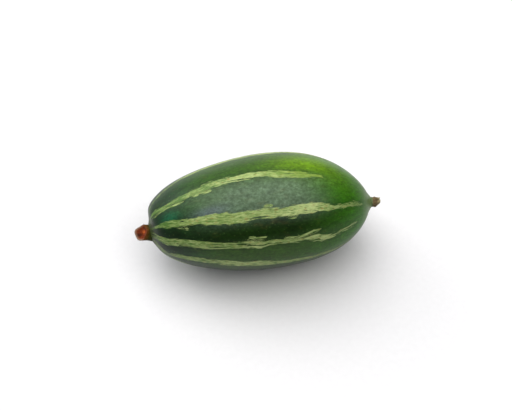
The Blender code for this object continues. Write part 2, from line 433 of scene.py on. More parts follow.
STRIPES = (
    Stripe(
        ((0.10, -52.0), (0.50, -51.0), (0.90, -55.0)),
        ((0.02, 0.8), (0.20, 2.0), (0.40, 3.0), (0.70, 2.6), (0.90, -2.5)),
        Habit.FEATHERED,
    ),
    Stripe(
        ((0.01, -20.0), (0.045, -12.0), (0.13, -9.5), (0.20, -9.5), (0.27, -11.0), (0.34, -10.2),
         (0.45, -9.3), (0.55, -6.6), (0.65, -5.2), (0.74, -4.6)),
        ((0.01, 1.2), (0.045, 1.8), (0.09, 1.7), (0.13, 2.8), (0.19, 3.0), (0.26, 2.8), (0.34, 2.9),
         (0.43, 2.8), (0.47, 2.5), (0.55, 3.1), (0.65, 3.0), (0.69, 2.0), (0.73, 1.0), (0.78, -2.5)),
        Habit.FEATHERED,
        ((0.02, -0.9), (0.10, -0.6), (0.20, -0.35), (0.32, 0.1), (0.42, 0.6), (0.50, 0.1), (0.60, -0.2),
         (0.70, -0.5)),
    ),
    Stripe(
        ((0.08, 30.0), (0.19, 29.5), (0.31, 31.5), (0.44, 30.6), (0.53, 32.2), (0.67, 30.8), (0.75, 33.0),
         (0.82, 33.6), (0.87, 31.8), (0.92, 33.5)),
        ((0.02, 0.6), (0.05, 1.9), (0.07, 2.5), (0.11, 2.2), (0.15, 2.5), (0.19, 3.0), (0.265, 4.3),
         (0.34, 4.4), (0.39, 3.7), (0.44, 3.2), (0.48, 3.6), (0.53, 3.4), (0.58, 3.9), (0.64, 3.7),
         (0.70, 3.2), (0.766, 2.2), (0.815, 1.5), (0.87, 1.7), (0.92, 1.4), (0.955, -2.5)),
        Habit.WHOLE,
        ((0.03, -0.8), (0.10, -0.4), (0.17, 0.2), (0.25, 0.1), (0.40, 0.2), (0.50, 0.3), (0.60, 0.6),
         (0.68, 0.9), (0.75, 0.2), (0.92, 0.3)),
    ),
    Stripe(
        ((0.02, 69.0), (0.056, 66.0), (0.09, 63.0), (0.13, 60.3), (0.25, 60.8), (0.38, 60.4), (0.43, 61.5),
         (0.48, 60.0), (0.56, 61.0), (0.61, 62.5), (0.66, 63.2), (0.71, 64.4), (0.77, 67.2), (0.82, 65.2),
         (0.88, 64.0)),
        ((0.02, 2.4), (0.06, 2.8), (0.09, 2.8), (0.13, 3.3), (0.17, 3.8), (0.21, 3.2), (0.29, 2.5),
         (0.34, 2.7), (0.40, 3.0), (0.44, 2.5), (0.48, 1.8), (0.54, 1.6), (0.59, 1.9), (0.63, 1.5),
         (0.67, 2.6), (0.71, 3.2), (0.76, 2.5), (0.79, 1.9), (0.82, 1.5), (0.88, 1.5), (0.92, -2.5)),
        Habit.FEATHERED,
        ((0.02, -0.3), (0.15, -0.1), (0.30, -0.2), (0.40, 0.5), (0.50, 0.0), (0.62, 0.3), (0.75, 0.5),
         (0.88, 0.5)),
    ),
    Stripe(
        ((0.03, 106.5), (0.05, 102.5), (0.083, 95.0), (0.124, 89.8), (0.163, 87.2), (0.242, 87.0),
         (0.33, 88.3), (0.46, 89.2), (0.56, 92.0), (0.66, 94.0), (0.78, 100.0)),
        ((0.02, 2.2), (0.067, 2.6), (0.12, 2.8), (0.20, 3.0), (0.284, 3.6), (0.37, 3.9), (0.46, 3.5),
         (0.56, 2.6), (0.66, 2.9), (0.78, 2.8), (0.88, 1.8), (0.93, -2.5)),
        Habit.FEATHERED,
        ((0.05, -0.2), (0.20, 0.0), (0.35, 0.3), (0.45, 0.1), (0.60, 0.0), (0.80, -0.2)),
    ),
    Stripe(((0.5, 124.0), (0.9, 127.0)), USUAL_WIDTH, Habit.WHOLE),
    Stripe(((0.4, 160.0), (0.8, 157.0)), USUAL_WIDTH, Habit.BROKEN),
    Stripe(((0.4, 199.0), (0.9, 203.0)), USUAL_WIDTH, Habit.FEATHERED),
    Stripe(((0.3, 238.0), (0.7, 235.0)), USUAL_WIDTH, Habit.WHOLE),
    Stripe(((0.4, 276.0), (0.9, 279.0)), USUAL_WIDTH, Habit.BROKEN),
    fleck(-2.5, 0.03, 0.13, 1.0, -0.2),
    fleck(-3.6, 0.19, 0.25, 1.3, 0.2),
    fleck(54.3, 0.38, 0.45, 1.3, 0.4),
    fleck(57.5, 0.545, 0.60, 1.1, 0.2),
    Stripe(((0.60, 59.5), (0.72, 54.5)), ((0.58, -1.0), (0.61, 0.9), (0.69, 1.1), (0.73, -2.0)), Habit.WHOLE),
    fleck(38.0, 0.10, 0.135, 0.6, 0.9),
    fleck(24.4, 0.465, 0.50, 1.2, 0.0),
    fleck(38.2, 0.57, 0.60, 0.9, 0.2),
)


@dataclass(frozen=True)
class WaxyRind:
    """The living skin of a ripe green gourd, grown and never polished: a thin wax over hard green rind.

    To the eye it is deep green with a soft grey sheen, part of it painted sheen in its colour, and its stripes
    are ragged, where cells lost their green.
    """

    name: str = "waxy_gourd_rind"
    mid_green: str = "#2f5112"
    deep_green: str = "#071d03"
    blue_green: str = "#0a3322"
    fresh_green: str = "#316f06"
    blush_green: str = "#668e0e"
    flank_green: str = "#102e07"
    pale_stripe: str = "#8fa560"
    green_stripe: str = "#466c2a"
    cream_stripe: str = "#b6c682"
    tan_stripe: str = "#93763e"
    ripe_stripe: str = "#8eaa34"
    collar_olive: str = "#2f3b16"
    # grey round the tip: partly the rind's own grey and partly painted sheen
    tip_grey_and_sheen: str = "#6a7d50"
    freckle: str = "#5f7a44"
    # painted sheen: the grey of the overhead light's broad sheen
    bloom: str = "#6d8070"
    # painted reflection: its cool blue-grey
    painted_reflection_grey: str = "#767f8f"
    # painted reflection: its teal
    teal_green: str = "#0c6442"
    wax_ior: float = 1.44
    specular: float = 0.24
    sheen: float = 0.045
    sheen_roughness: float = 0.25
    roughness: float = 0.38
    barb: Size = (0.75, 4.5)  # mm across and along: the feathers at a stripe's edge
    thread: Size = (0.35, 2.2)  # mm: the fine threads that the feathers split into
    wander: Size = (3.0, 9.0)  # mm: how the edge wanders
    strand: Size = (0.8, 10.0)  # mm: the green lines that split a loose stripe
    tint: Size = (2.0, 6.0)  # mm: cream clouds in a stripe
    dot: Size = (0.8, 1.5)  # mm: its cream, tan and green dots
    patch: Size = (8.0, 13.0)  # mm: large soft patches of green
    mottle: Size = (0.8, 0.9)  # mm: the fine cloudiness of the green
    cloud: Size = (2.2, 3.6)  # mm: its coarser clouds
    freckle_spacing: float = 1.3  # mm
    freckle_size: float = 0.2  # mm
    edge_softness: float = 0.2  # mm
    flank: float = 1.3  # mm: how far the darker green beside a stripe reaches
    flank_depth: float = 0.5  # how much of the darker green there is at the stripe's edge
    collar_reach: Size = (3.4, 9.0)  # mm from the stalk: where its olive begins to fade, and ends
    tip_reach: Size = (2.2, 11.5)  # mm from the tip: the same for its grey, which is partly painted sheen
    relief: float = 0.05  # mm
    # Shares of the way from stalk to tip, and how much there is at the first and at the second
    stripe_fade: Span = (0.75, 0.95, 0.96, 0.4)
    near_stalk: Span = (0.30, 0.03, 0.0, 0.85)
    at_stalk: Span = (0.15, 0.03, 0.0, 0.75)
    towards_tip: Span = (0.55, 0.92, 0.0, 0.8)
    # Where a pattern or a patch starts to count and where it counts in full, and how much at each
    gaps: Span = (0.1, 0.6, 0.0, 1.0)
    cloudiness: Span = (-0.8, 0.8, 0.65, 1.0)
    # how the painted sheen is mottled
    sheen_mottling: Span = (-1.0, 1.0, 0.28, 0.56)
    teal: Span = (0.0, 1.0, 0.0, 0.6)
    # how much painted reflection the cool blue-grey patch gives
    veil: Span = (0.0, 1.0, 0.0, 0.4)
    tanning: Span = (0.3, 1.0, 0.0, 0.07)
    ripening: Span = (0.0, 1.0, 0.0, 0.8)
    mottle_shade: Span = (-1.0, 1.0, 0.55, 1.35)
    cloud_shade: Span = (-1.0, 1.0, 0.72, 1.30)
    freckle_strength: float = 0.24
    end_strength: float = 0.85  # of the collar's olive and the tip's grey
    relief_strength: float = 0.7
    grain_relief: float = 0.25  # of the height by which a stripe stands out
    grain_dullness: float = 0.05  # what the rind's grain adds to its roughness
    stripe_dullness: float = 0.06  # what a stripe adds

    def grain(self, add: Add, place: Socket, size: Size, seed: float) -> Socket:
        """A cloudy pattern drawn out along the fruit.

        Args:
            add: adds a node to the material's tree.
            place: millimetres round and along the rind.
            size: how wide and how long its patches are, in millimetres.
            seed: which of many alike patterns it is.

        Returns:
            The pattern, around 0 and seldom past 1 or -1.
        """
        across, along = size
        scaled = add(VECTOR_MATH, (place, (1 / across, 1 / across, 1 / along)), "MULTIPLY")
        look = {"Vector": scaled, "W": seed, "Scale": 1.0, "Detail": 3.0, "Roughness": 0.55}
        cloud = add(NOISE, look, noise_dimensions="4D")
        return add(MATH, (cloud, 4.0, -2.0), "MULTIPLY_ADD").outputs[0]

    def stripe_cover(self, add: Add, read: dict[str, Socket]) -> tuple[Socket, Socket]:
        """Where the stripes are, with ragged edges, split strands and a faded end.

        Args:
            add: adds a node to the material's tree.
            read: the fruit's attributes.

        Returns:
            How much of the stripe covers a point, and how near a stripe's edge a point outside it is.
        """
        ragged = read["stripe_edge"]
        # A pattern's size, how many millimetres it moves the edge by, and its seed
        for size, reach, seed in ((self.barb, 0.75, 1.0), (self.thread, 0.50, 2.0), (self.wander, 0.30, 3.0)):
            pattern = self.grain(add, read["stripe_place"], size, seed)
            ragged = add(MATH, (pattern, reach, ragged), "MULTIPLY_ADD")
        strands = self.grain(add, read["stripe_place"], self.strand, 5.0)
        worn = add(MATH, (add(RANGE, (strands, *self.gaps)), read["stripe_looseness"]), "MULTIPLY")
        ragged = add(MATH, (ragged, worn), "SUBTRACT")
        soft = self.edge_softness
        stripe = add(RANGE, (ragged, -soft, soft), interpolation_type="SMOOTHSTEP")
        faded = add(RANGE, (read["share"], *self.stripe_fade))
        stripe = add(MATH, (stripe, faded), "MULTIPLY")
        flank = add(RANGE, (ragged, -self.flank, -soft, 0.0, self.flank_depth))
        return stripe.outputs[0], flank.outputs[0]

    def green_layers(self, add: Add, read: dict[str, Socket], flank: Socket) -> Socket:
        """The greens between the stripes, laid one over another.

        Args:
            add: adds a node to the material's tree.
            read: the fruit's attributes.
            flank: how near a stripe's edge a point is.

        Returns:
            The colour.
        """
        rind, share = read["rind"], read["share"]
        cloudy = add(RANGE, (self.grain(add, rind, self.patch, 4.0), *self.cloudiness))
        clouded = [
            (green, add(MATH, (amount, cloudy), "MULTIPLY", use_clamp=True))
            for green, amount in (
                (self.blue_green, add(RANGE, (share, *self.near_stalk), interpolation_type="SMOOTHSTEP")),
                (self.deep_green, add(RANGE, (share, *self.at_stalk))),
                (self.fresh_green, add(RANGE, (share, *self.towards_tip), interpolation_type="SMOOTHSTEP")),
                # painted shade: darker green on the lower front band
                (self.deep_green, read["depth"]),
                # painted shade: darker green on the underside
                (self.deep_green, read["belly"]),
                (self.blush_green, read["blush"]),
                (self.flank_green, flank),
            )
        ]
        voronoi = {"Vector": read["place"], "Scale": 1 / (self.freckle_spacing * MM), "Randomness": 1.0}
        spots = add("ShaderNodeTexVoronoi", voronoi).outputs["Distance"]
        radius = self.freckle_size / self.freckle_spacing
        mottle = self.grain(add, rind, self.mottle, 7.0)
        mottled_sheen = add(RANGE, (mottle, *self.sheen_mottling))
        layers = (
            *clouded,
            # painted reflection: teal beside the stalk
            (self.teal_green, add(RANGE, (read["teal"], *self.teal))),
            # painted sheen, mottled
            (self.bloom, add(MATH, (mottled_sheen, read["haze"]), "MULTIPLY")),
            # painted reflection: the cool blue-grey patch
            (self.painted_reflection_grey, add(RANGE, (read["veil"], *self.veil))),
            (self.freckle, add(RANGE, (spots, radius * 1.5, radius * 0.5, 0.0, self.freckle_strength))),
            (self.tan_stripe, add(RANGE, (self.grain(add, rind, self.cloud, 14.0), *self.tanning))),
        )
        colour = layered(add, srgb(self.mid_green), layers)
        clouds = self.grain(add, rind, self.cloud, 13.0)
        for pattern, shading in ((mottle, self.mottle_shade), (clouds, self.cloud_shade)):
            shade = add(RANGE, (pattern, *shading))
            colour = add(VECTOR_MATH, (colour, shade), "MULTIPLY").outputs[0]
        return colour

    def stripe_layers(self, add: Add, read: dict[str, Socket]) -> Socket:
        """The stripes' own colour, streaked with green and clouded with cream and tan.

        Args:
            add: adds a node to the material's tree.
            read: the fruit's attributes.

        Returns:
            The colour.
        """
        layers = []
        # Colour, the pattern's size and seed, how the stripe's tone moves it, where it starts and where it is
        # full, and how much there is of it
        for over, size, seed, toned, low, high, most in (
            (self.cream_stripe, self.tint, 8.0, 0.9, 0.05, 1.0, 0.95),
            (self.cream_stripe, self.dot, 15.0, 0.3, 0.0, 0.8, 0.8),
            (self.tan_stripe, self.dot, 9.0, 0.0, 0.12, 0.8, 0.75),
            (self.green_stripe, self.dot, 16.0, -0.2, 0.1, 0.8, 0.7),
            (self.green_stripe, self.barb, 10.0, -0.7, 0.0, 0.7, 0.85),
            (self.green_stripe, self.thread, 11.0, -0.15, -0.1, 0.55, 0.85),
        ):
            pattern = self.grain(add, read["stripe_place"], size, seed)
            pattern = add(MATH, (read["stripe_tone"], toned, pattern), "MULTIPLY_ADD")
            layers.append((over, add(RANGE, (pattern, low, high, 0.0, most))))
        layers.append((self.ripe_stripe, add(RANGE, (read["blush"], *self.ripening))))
        return layered(add, srgb(self.pale_stripe), layers)

    def material(self, stalk_at: Vector, tip_at: Vector) -> Material:
        """Makes the material.

        Args:
            stalk_at: where the stalk leaves the fruit.
            tip_at: where the blossom tip does.

        Returns:
            The material, which reads the attributes that the fruit's tree stores.
        """
        material, add, read = new_material(self.name, FRUIT_ATTRIBUTES)
        stripe, flank = self.stripe_cover(add, read)
        layers = [(self.stripe_layers(add, read), stripe)]
        for over, middle, (near, far) in (
            (self.collar_olive, stalk_at, self.collar_reach), (self.tip_grey_and_sheen, tip_at, self.tip_reach)
        ):
            away = add(VECTOR_MATH, (read["place"], middle), "DISTANCE").outputs["Value"]
            layers.append((over, add(RANGE, (away, near * MM, far * MM, self.end_strength, 0.0))))
        colour = layered(add, self.green_layers(add, read, flank), layers)

        texture = self.grain(add, read["rind"], self.thread, 12.0)
        dullness = add(MATH, (texture, self.grain_dullness, self.roughness), "MULTIPLY_ADD")
        dullness = add(MATH, (stripe, self.stripe_dullness, dullness), "MULTIPLY_ADD")
        height = add(MATH, (texture, self.grain_relief, stripe), "MULTIPLY_ADD")
        relief = {"Height": height, "Distance": self.relief * MM, "Strength": self.relief_strength}
        surface = {
            "Base Color": colour,
            "Roughness": dullness,
            "Normal": add(BUMP, relief),
            "IOR": self.wax_ior,
            "Specular IOR Level": self.specular,
            "Sheen Weight": self.sheen,
            "Sheen Roughness": self.sheen_roughness,
        }
        return give_surface(material, surface)


@dataclass(frozen=True)
class TornStalk:
    """The stalk's broken end: woody fibres torn across, dried orange and red inside an olive skin.

    To the eye it is matt, its face is stringy and blotched from brown to orange, and its torn rim is greyish.
    """

    name: str = "torn_gourd_stalk"
    flesh: str = "#743112"
    string: str = "#4a1c0c"
    rim: str = "#94806c"
    rim_low: str = "#6a3a18"
    side: str = "#643c12"
    side_dark: str = "#3a2c0c"
    base_olive: str = "#2f3810"
    # Blotches of the torn face: colour, place in millimetres across it, and reach in millimetres
    blotches: tuple[tuple[str, tuple[float, float, float], float], ...] = (
        ("#381a0a", (-1.8, -0.2, 0.0), 1.3),
        ("#4a2d13", (1.7, 1.7, 0.0), 1.6),
        ("#662413", (1.3, -1.6, 0.0), 1.3),
        ("#c4622a", (0.2, 0.4, 0.0), 1.1),
        ("#9c441a", (2.0, 0.1, 0.0), 0.8),
        ("#541204", (-0.5, -0.9, 0.0), 0.5),
    )
    vessels: int = 10
    vessel_ring: float = 1.9  # mm
    roughness: float = 0.48  # where the fibres add nothing to it
    specular: float = 0.08
    fibre: float = 0.22  # mm
    relief: float = 0.12  # mm
    relief_strength: float = 0.8
    # Where a layer starts and is full, and how much there is of it at each
    rim_slope: Span = (-0.5, 1.5, 0.0, 1.0)  # by millimetres down the torn face
    vessel_fade: Span = (0.45, 0.1, 0.0, 0.55)  # by millimetres off their ring
    stringiness: Span = (0.52, 0.66, 0.0, 0.6)
    side_streaks: Span = (0.45, 0.62, 0.0, 0.7)
    base_reach: Span = (0.80, 0.35, 0.0, 0.95)  # by the share of the way up
    blotch_unevenness: float = 1.6  # mm, times the fibres' pattern, whose middle is about half
    blotch_edge: float = 0.8  # mm: that unevenness at the pattern's middle
    fibre_dullness: float = 0.25  # what the fibres add to the roughness

    def face_layers(self, add: Add, across: Socket, fibres: Node) -> Socket:
        """The torn face's colours: flesh, its blotches, its strings and its ring of vessels.

        Args:
            add: adds a node to the material's tree.
            across: millimetres across the torn face.
            fibres: the fine pattern of the wood.

        Returns:
            The colour.
        """
        layers = []
        for over, middle, reach in self.blotches:
            away = add(VECTOR_MATH, (across, middle), "DISTANCE").outputs["Value"]
            uneven = add(MATH, (fibres, self.blotch_unevenness, away), "MULTIPLY_ADD")
            spread = (uneven, self.blotch_edge + reach, self.blotch_edge)
            layers.append((over, add(RANGE, spread, interpolation_type="SMOOTHSTEP")))
        run = partial(chain, add, MATH)
        parts = add("ShaderNodeSeparateXYZ", (across,)).outputs
        beads = run(parts["Y"], ("ARCTAN2", parts["X"]), ("MULTIPLY", float(self.vessels)), ("COSINE",))
        width = add(VECTOR_MATH, (across,), "LENGTH").outputs["Value"]
        off_ring = run(width, ("SUBTRACT", self.vessel_ring), ("ABSOLUTE",))
        ring = add(RANGE, (off_ring, *self.vessel_fade))
        vessel = add(MATH, (beads, ring), "MULTIPLY", use_clamp=True)
        stringy = add(RANGE, (fibres, *self.stringiness))
        layers += [(self.string, vessel), (self.string, stringy)]
        return layered(add, srgb(self.flesh), layers)

    def material(self) -> Material:
        """Makes the material, which reads the attributes that the stub's mesh stores."""
        material, add, read = new_material(self.name, STUB_ATTRIBUTES)
        across = read["torn_at"]
        fibres = add(NOISE, {"Vector": read["place"], "Scale": 1 / (self.fibre * MM), "Detail": 3.0})
        downhill = add("ShaderNodeSeparateXYZ", (across,)).outputs["X"]
        rim = layered(add, srgb(self.rim), [(self.rim_low, add(RANGE, (downhill, *self.rim_slope)))])
        face = layered(add, self.face_layers(add, across, fibres), [(rim, read["on_rim"])])
        layers = (
            (self.side_dark, add(RANGE, (fibres, *self.side_streaks))),
            (self.base_olive, add(RANGE, (read["rise"], *self.base_reach))),
            (face, read["on_face"]),
        )
        relief = {"Height": fibres, "Distance": self.relief * MM, "Strength": self.relief_strength}
        surface = {
            "Base Color": layered(add, srgb(self.side), layers),
            "Roughness": add(MATH, (fibres, self.fibre_dullness, self.roughness), "MULTIPLY_ADD"),
            "Specular IOR Level": self.specular,
            "Normal": add(BUMP, relief),
        }
        return give_surface(material, surface)


@dataclass(frozen=True)
class DryBlossom:
    """What is left of the flower: thin petals that dried on the fruit to a brown papery cup.

    To the eye it is matt and wrinkled and pale at its torn lip, with painted shade in its hollow and its
    creases.
    """

    name: str = "dry_blossom"
    paper: str = "#705e3a"
    # painted shade in the folds' creases; the same dark also marks the wrinkles
    crease: str = "#352710"
    lip: str = "#a89f76"
    # painted shade: the dark inside the hollow
    hollow: str = "#2e1d10"
    base_green: str = "#5f7048"
    roughness: float = 0.8
    wrinkle: float = 0.3  # mm
    relief: float = 0.15  # mm
    relief_strength: float = 0.8
    # Where a layer starts and is full, and how much there is of it at each
    wrinkling: Span = (0.45, 0.65, 0.0, 0.75)
    lip_reach: Span = (0.50, 0.90, 0.0, 0.85)  # by the share of the way up
    base_reach: Span = (0.07, 0.01, 0.0, 0.9)  # by the same

    def material(self) -> Material:
        """Makes the material, which reads the attributes that the tip's mesh stores."""
        material, add, read = new_material(self.name, TIP_ATTRIBUTES)
        wrinkles = add(NOISE, {"Vector": read["place"], "Scale": 1 / (self.wrinkle * MM), "Detail": 3.0})
        layers = (
            (self.crease, add(RANGE, (wrinkles, *self.wrinkling))),
            (self.lip, add(RANGE, (read["rise"], *self.lip_reach))),
            (self.base_green, add(RANGE, (read["rise"], *self.base_reach))),
            # painted shade in the folds' creases
            (self.crease, read["crease"]),
            # painted shade in the hollow
            (self.hollow, read["inside"]),
        )
        relief = {"Height": wrinkles, "Distance": self.relief * MM, "Strength": self.relief_strength}
        surface = {
            "Base Color": layered(add, srgb(self.paper), layers),
            "Roughness": self.roughness,
            "Normal": add(BUMP, relief),
        }
        return give_surface(material, surface)


@dataclass(frozen=True)
class PaleFloor:
    """White paper with a faint tooth: it gives a plain, matt, nearly white ground."""

    name: str = "white_paper"
    white: str = "#efeff2"
    shade: str = "#e9e9ec"
    roughness: float = 0.9
    tooth: float = 2.0  # mm

    def material(self) -> Material:
        """Makes the material."""
        material, add, read = new_material(self.name, {})
        cloud = add(NOISE, {"Vector": read["place"], "Scale": 1 / (self.tooth * MM), "Detail": 2.0})
        colour = layered(add, srgb(self.white), [(self.shade, cloud)])
        return give_surface(material, {"Base Color": colour, "Roughness": self.roughness})


@dataclass
class Fruit:
    """The whole fruit with its skin, from its solid's formula, and fine enough to carry the stripes."""

    length: float = 83.3 * MM  # from pole to pole along its middle line
    diameter: float = 44.2 * MM
    fullest_shift: float = 0.067  # of half the length, towards the tip
    roundness: float = 0.936  # power of the profile
    taper: float = 0.221  # what the power gains towards the tip
    shoulder: float = 0.145  # of the radius: how much fuller the stalk end is to +Y
    bend_rise: float = 2.3 * MM
    collar_height: float = 0.9 * MM
    collar_radius: float = 4.4 * MM
    nipple_height: float = 0.8 * MM
    nipple_radius: float = 3.0 * MM
    swells: tuple[tuple[int, float, float], ...] = (
        (2, 0.010, math.radians(35.0)),
        (3, 0.006, math.radians(-60.0)),
        (10, 0.004, math.radians(14.0)),
    )
    segments: int = 288
    rings: int = 200
    pole_crowding: float = 0.45
    inset: float = 0.05 * MM  # keeps the fine skin within the faceted solid's box
    lump_depth: float = 0.10 * MM
    lump_size: float = 6.0  # mm
    pull: float = math.radians(26.0)  # how far the stripes swerve to meet beside the stalk's pole
    pull_reach: float = 0.085  # share of the way along
    pull_around: float = math.radians(-10.0)  # where they meet
    crest_height: float = 1.0 * MM  # how far the rind stands out above the stalk
    crest_around: float = math.radians(-30.0)
    crest_ring: Size = (10.0, 3.6)  # mm from the middle line, and mm across
    belly: Span = (0.0, -0.30, 0.0, 0.9)  # painted shade on the underside, by how far up on the fruit's round a point is, of its radius
    stripes: tuple[Stripe, ...] = STRIPES
    patches: tuple[Patch, ...] = PATCHES
    finish: WaxyRind = field(default_factory=WaxyRind)
    offset: Vector = field(default_factory=Vector)  # from its own middle to its place in the frame

    @property
    def bend_radius(self) -> float:
        """The radius of the arc that the fruit's middle line follows."""
        return self.length**2 / (8 * self.bend_rise)

    def bent(self, point: Vector) -> Vector:
        """Where a point of the straight fruit goes when its middle line is bent in the level plane."""
        turn = point.x / self.bend_radius
        reach = self.bend_radius + point.y
        return Vector((reach * math.sin(turn), reach * math.cos(turn) - self.bend_radius, point.z))

    @staticmethod
    def around_direction(around: float) -> Vector:
        """Unit vector across the fruit at an angle round it: 0 is straight up and a quarter turn is -Y."""
        return Vector((0.0, -math.sin(around), math.cos(around)))

    def frame_at(self, along: float, outward: Vector, around: float) -> Matrix:
        """A frame on the fruit's middle line, in the gourd's place.

        Args:
            along: how far it is from the middle of the fruit.
            outward: where its Z points.
            around: the angle round the fruit that its X points to.

        Returns:
            The frame, which carries a small piece's own coordinates to the frame's.
        """
        towards = self.around_direction(around)
        towards = (towards - towards.project(outward)).normalized()
        axes = Matrix((towards, outward.cross(towards), outward)).transposed()
        return Matrix.Translation(self.bent(Vector((along, 0.0, 0.0))) + self.offset) @ axes.to_4x4()

    def end_axis(self, end: End) -> tuple[float, Vector]:
        """Where the middle line leaves the fruit.

        Args:
            end: which end is meant.

        Returns:
            How far along it is, and the direction outward.
        """
        along = end.value * self.length / 2
        if end is End.TIP:
            along += self.nipple_height
        turn = along / self.bend_radius
        return along, end.value * Vector((math.cos(turn), -math.sin(turn), 0.0))

    def sizes(self) -> dict[str, float]:
        """The named inputs of the fruit's tree."""
        fields = (
            "segments", "rings", "pole_crowding", "fullest_shift", "roundness", "taper", "shoulder",
            "bend_radius", "collar_height", "collar_radius", "nipple_height", "nipple_radius", "inset",
            "crest_height", "lump_depth", "lump_size",
        )
        sizes = {name.replace("_", " ").capitalize(): getattr(self, name) for name in fields}
        return sizes | {"Half length": self.length / 2, "Half diameter": self.diameter / 2}

    def stripe_fields(
        self, add: Add, around: Node, share: Node, radius_mm: Node
    ) -> tuple[Node, Node, Node, Node]:
        """Measures where each point of the skin lies by its nearest stripe.

        Args:
            add: adds a node to the fruit's tree.
            around: the angle round the fruit.
            share: the share of the way from stalk to tip.
            radius_mm: the distance from the middle line in millimetres.

        Returns:
            Millimetres inside that stripe's edge, below 0 outside it, how loose the stripe is, how pale it is
            here, and millimetres across it from its middle, with a far larger number added to tell the
            stripes apart.
        """
        run = partial(chain, add, MATH)
        swerve = run(share, ("MULTIPLY", -1 / self.pull_reach), ("EXPONENT",))
        deepest, looseness, tone, across = (
            run(share, ("MULTIPLY_ADD", 0.0, start)) for start in (FAR_OUTSIDE, 0.0, 0.0, 0.0)
        )
        for number, stripe in enumerate(self.stripes):
            read = []
            for points in (stripe.course, stripe.width, stripe.tone):
                curve = add("ShaderNodeFloatCurve", {"Value": share})
                curve.mapping.use_clip = False
                curve.mapping.extend = "HORIZONTAL"
                line = curve.mapping.curves[0]
                while len(line.points) < len(points):
                    line.points.new(1.0, 1.0)
                for handle, place in zip(line.points, points):
                    handle.location = place
                curve.mapping.update()
                read.append(curve)
            course, width, paleness = read
            swerved = -self.pull * math.sin(math.radians(stripe.course[0][1]) - self.pull_around)
            middle = run(swerve, ("MULTIPLY_ADD", swerved, run(course, ("RADIANS",))))
            aside = run(around, ("SUBTRACT", middle), HALF_TURNS, ("MULTIPLY", radius_mm))
            inside = run(width, ("MULTIPLY", 0.5), ("SUBTRACT", run(aside, ("ABSOLUTE",))))
            apart = run(aside, ("ADD", STRIPE_APART * number))
            nearer = run(inside, ("GREATER_THAN", deepest))
            looseness, across, tone = (
                add(MIX, {0: nearer, 2: so_far, 3: here})
                for so_far, here in ((looseness, stripe.habit.value), (across, apart), (tone, paleness))
            )
            deepest = run(inside, ("MAXIMUM", deepest))
        return deepest, looseness, tone, across

    def skin_tree(self) -> Tree:
        """Builds the tree that turns a sphere to the gourd's skin and stores what its finish reads."""
        tree, add, size = new_geometry_tree("fruit_skin", self.sizes())
        run = partial(chain, add, MATH)
        sphere = add("GeometryNodeMeshUVSphere", (size["Segments"], size["Rings"], 1.0))
        point = add("ShaderNodeSeparateXYZ", (add("GeometryNodeInputPosition"),)).outputs
        around = run(point["Y"], ("ARCTAN2", point["X"]))
        upward = run(around, ("COSINE",))
        sideways = run(around, ("SINE",))

        # The polar angle is 0 at the stalk and pi at the tip, with more rings near both
        even = run(point["Z"], ("MULTIPLY", -1.0), ("ARCCOSINE",))
        crowd = ("MULTIPLY", size["Pole crowding"])
        polar = run(even, ("MULTIPLY", 2.0), ("SINE",), crowd, ("MULTIPLY_ADD", -0.5, even))
        axial = run(polar, ("COSINE",), ("MULTIPLY", -1.0))
        ring = run(polar, ("SINE",), ("MAXIMUM", 0.0))
        share = run(axial, ("MULTIPLY_ADD", 0.5, 0.5))

        # The straight fruit: how far along it each point is, and how far out
        fullest = ("MULTIPLY_ADD", size["Fullest shift"], axial)
        along = run(ring, ("POWER", 2.0), fullest, ("MULTIPLY", size["Half length"]))
        power = run(axial, ("MULTIPLY_ADD", size["Taper"], size["Roundness"]))
        radius = run(ring, ("POWER", power), ("MULTIPLY", size["Half diameter"]))
        swell = run(ring, ("MULTIPLY_ADD", 0.0, 1.0))
        for waves, height, crest in self.swells:
            phase = ("MULTIPLY_ADD", float(waves), -waves * crest)
            swell = run(around, phase, ("COSINE",), ("MULTIPLY_ADD", height, swell))
        cubed = run(axial, ("MULTIPLY", axial), ("MULTIPLY", axial))
        fuller = run(cubed, ("MULTIPLY", sideways), ("MULTIPLY_ADD", size["Shoulder"], 1.0))
        radius = run(radius, ("MULTIPLY", swell), ("MULTIPLY", fuller))
        radius_mm = run(radius, ("MULTIPLY", 1 / MM))

        # The collar round the stalk, and the nipple under the tip
        for end, rise in ((End.STALK, "Collar"), (End.TIP, "Nipple")):
            here = run(axial, ("MULTIPLY", end.value), ("GREATER_THAN", 0.0))
            ratio = run(radius, ("DIVIDE", size[f"{rise} radius"]))
            bell = run(ratio, ("POWER", 4.0), ("MULTIPLY", -1.0), ("EXPONENT",))
            raised = run(bell, ("MULTIPLY", size[f"{rise} height"]), ("MULTIPLY", here))
            along = run(raised, ("MULTIPLY_ADD", end.value, along))

        # The rind stands out a little above the stalk
        middle, width = self.crest_ring
        off_ring = run(radius_mm, ("MULTIPLY_ADD", 1 / width, -middle / width))
        bell = run(off_ring, ("MULTIPLY", off_ring), ("MULTIPLY", -1.0), ("EXPONENT",))
        above = run(around, ("ADD", -self.crest_around), ("COSINE",), ("MULTIPLY_ADD", 0.5, 0.5))
        above = run(above, ("POWER", 2.0))
        at_stalk = run(axial, ("LESS_THAN", 0.0))
        crest = run(bell, ("MULTIPLY", above), ("MULTIPLY", at_stalk), ("MULTIPLY", size["Crest height"]))
        along = run(along, ("SUBTRACT", crest))

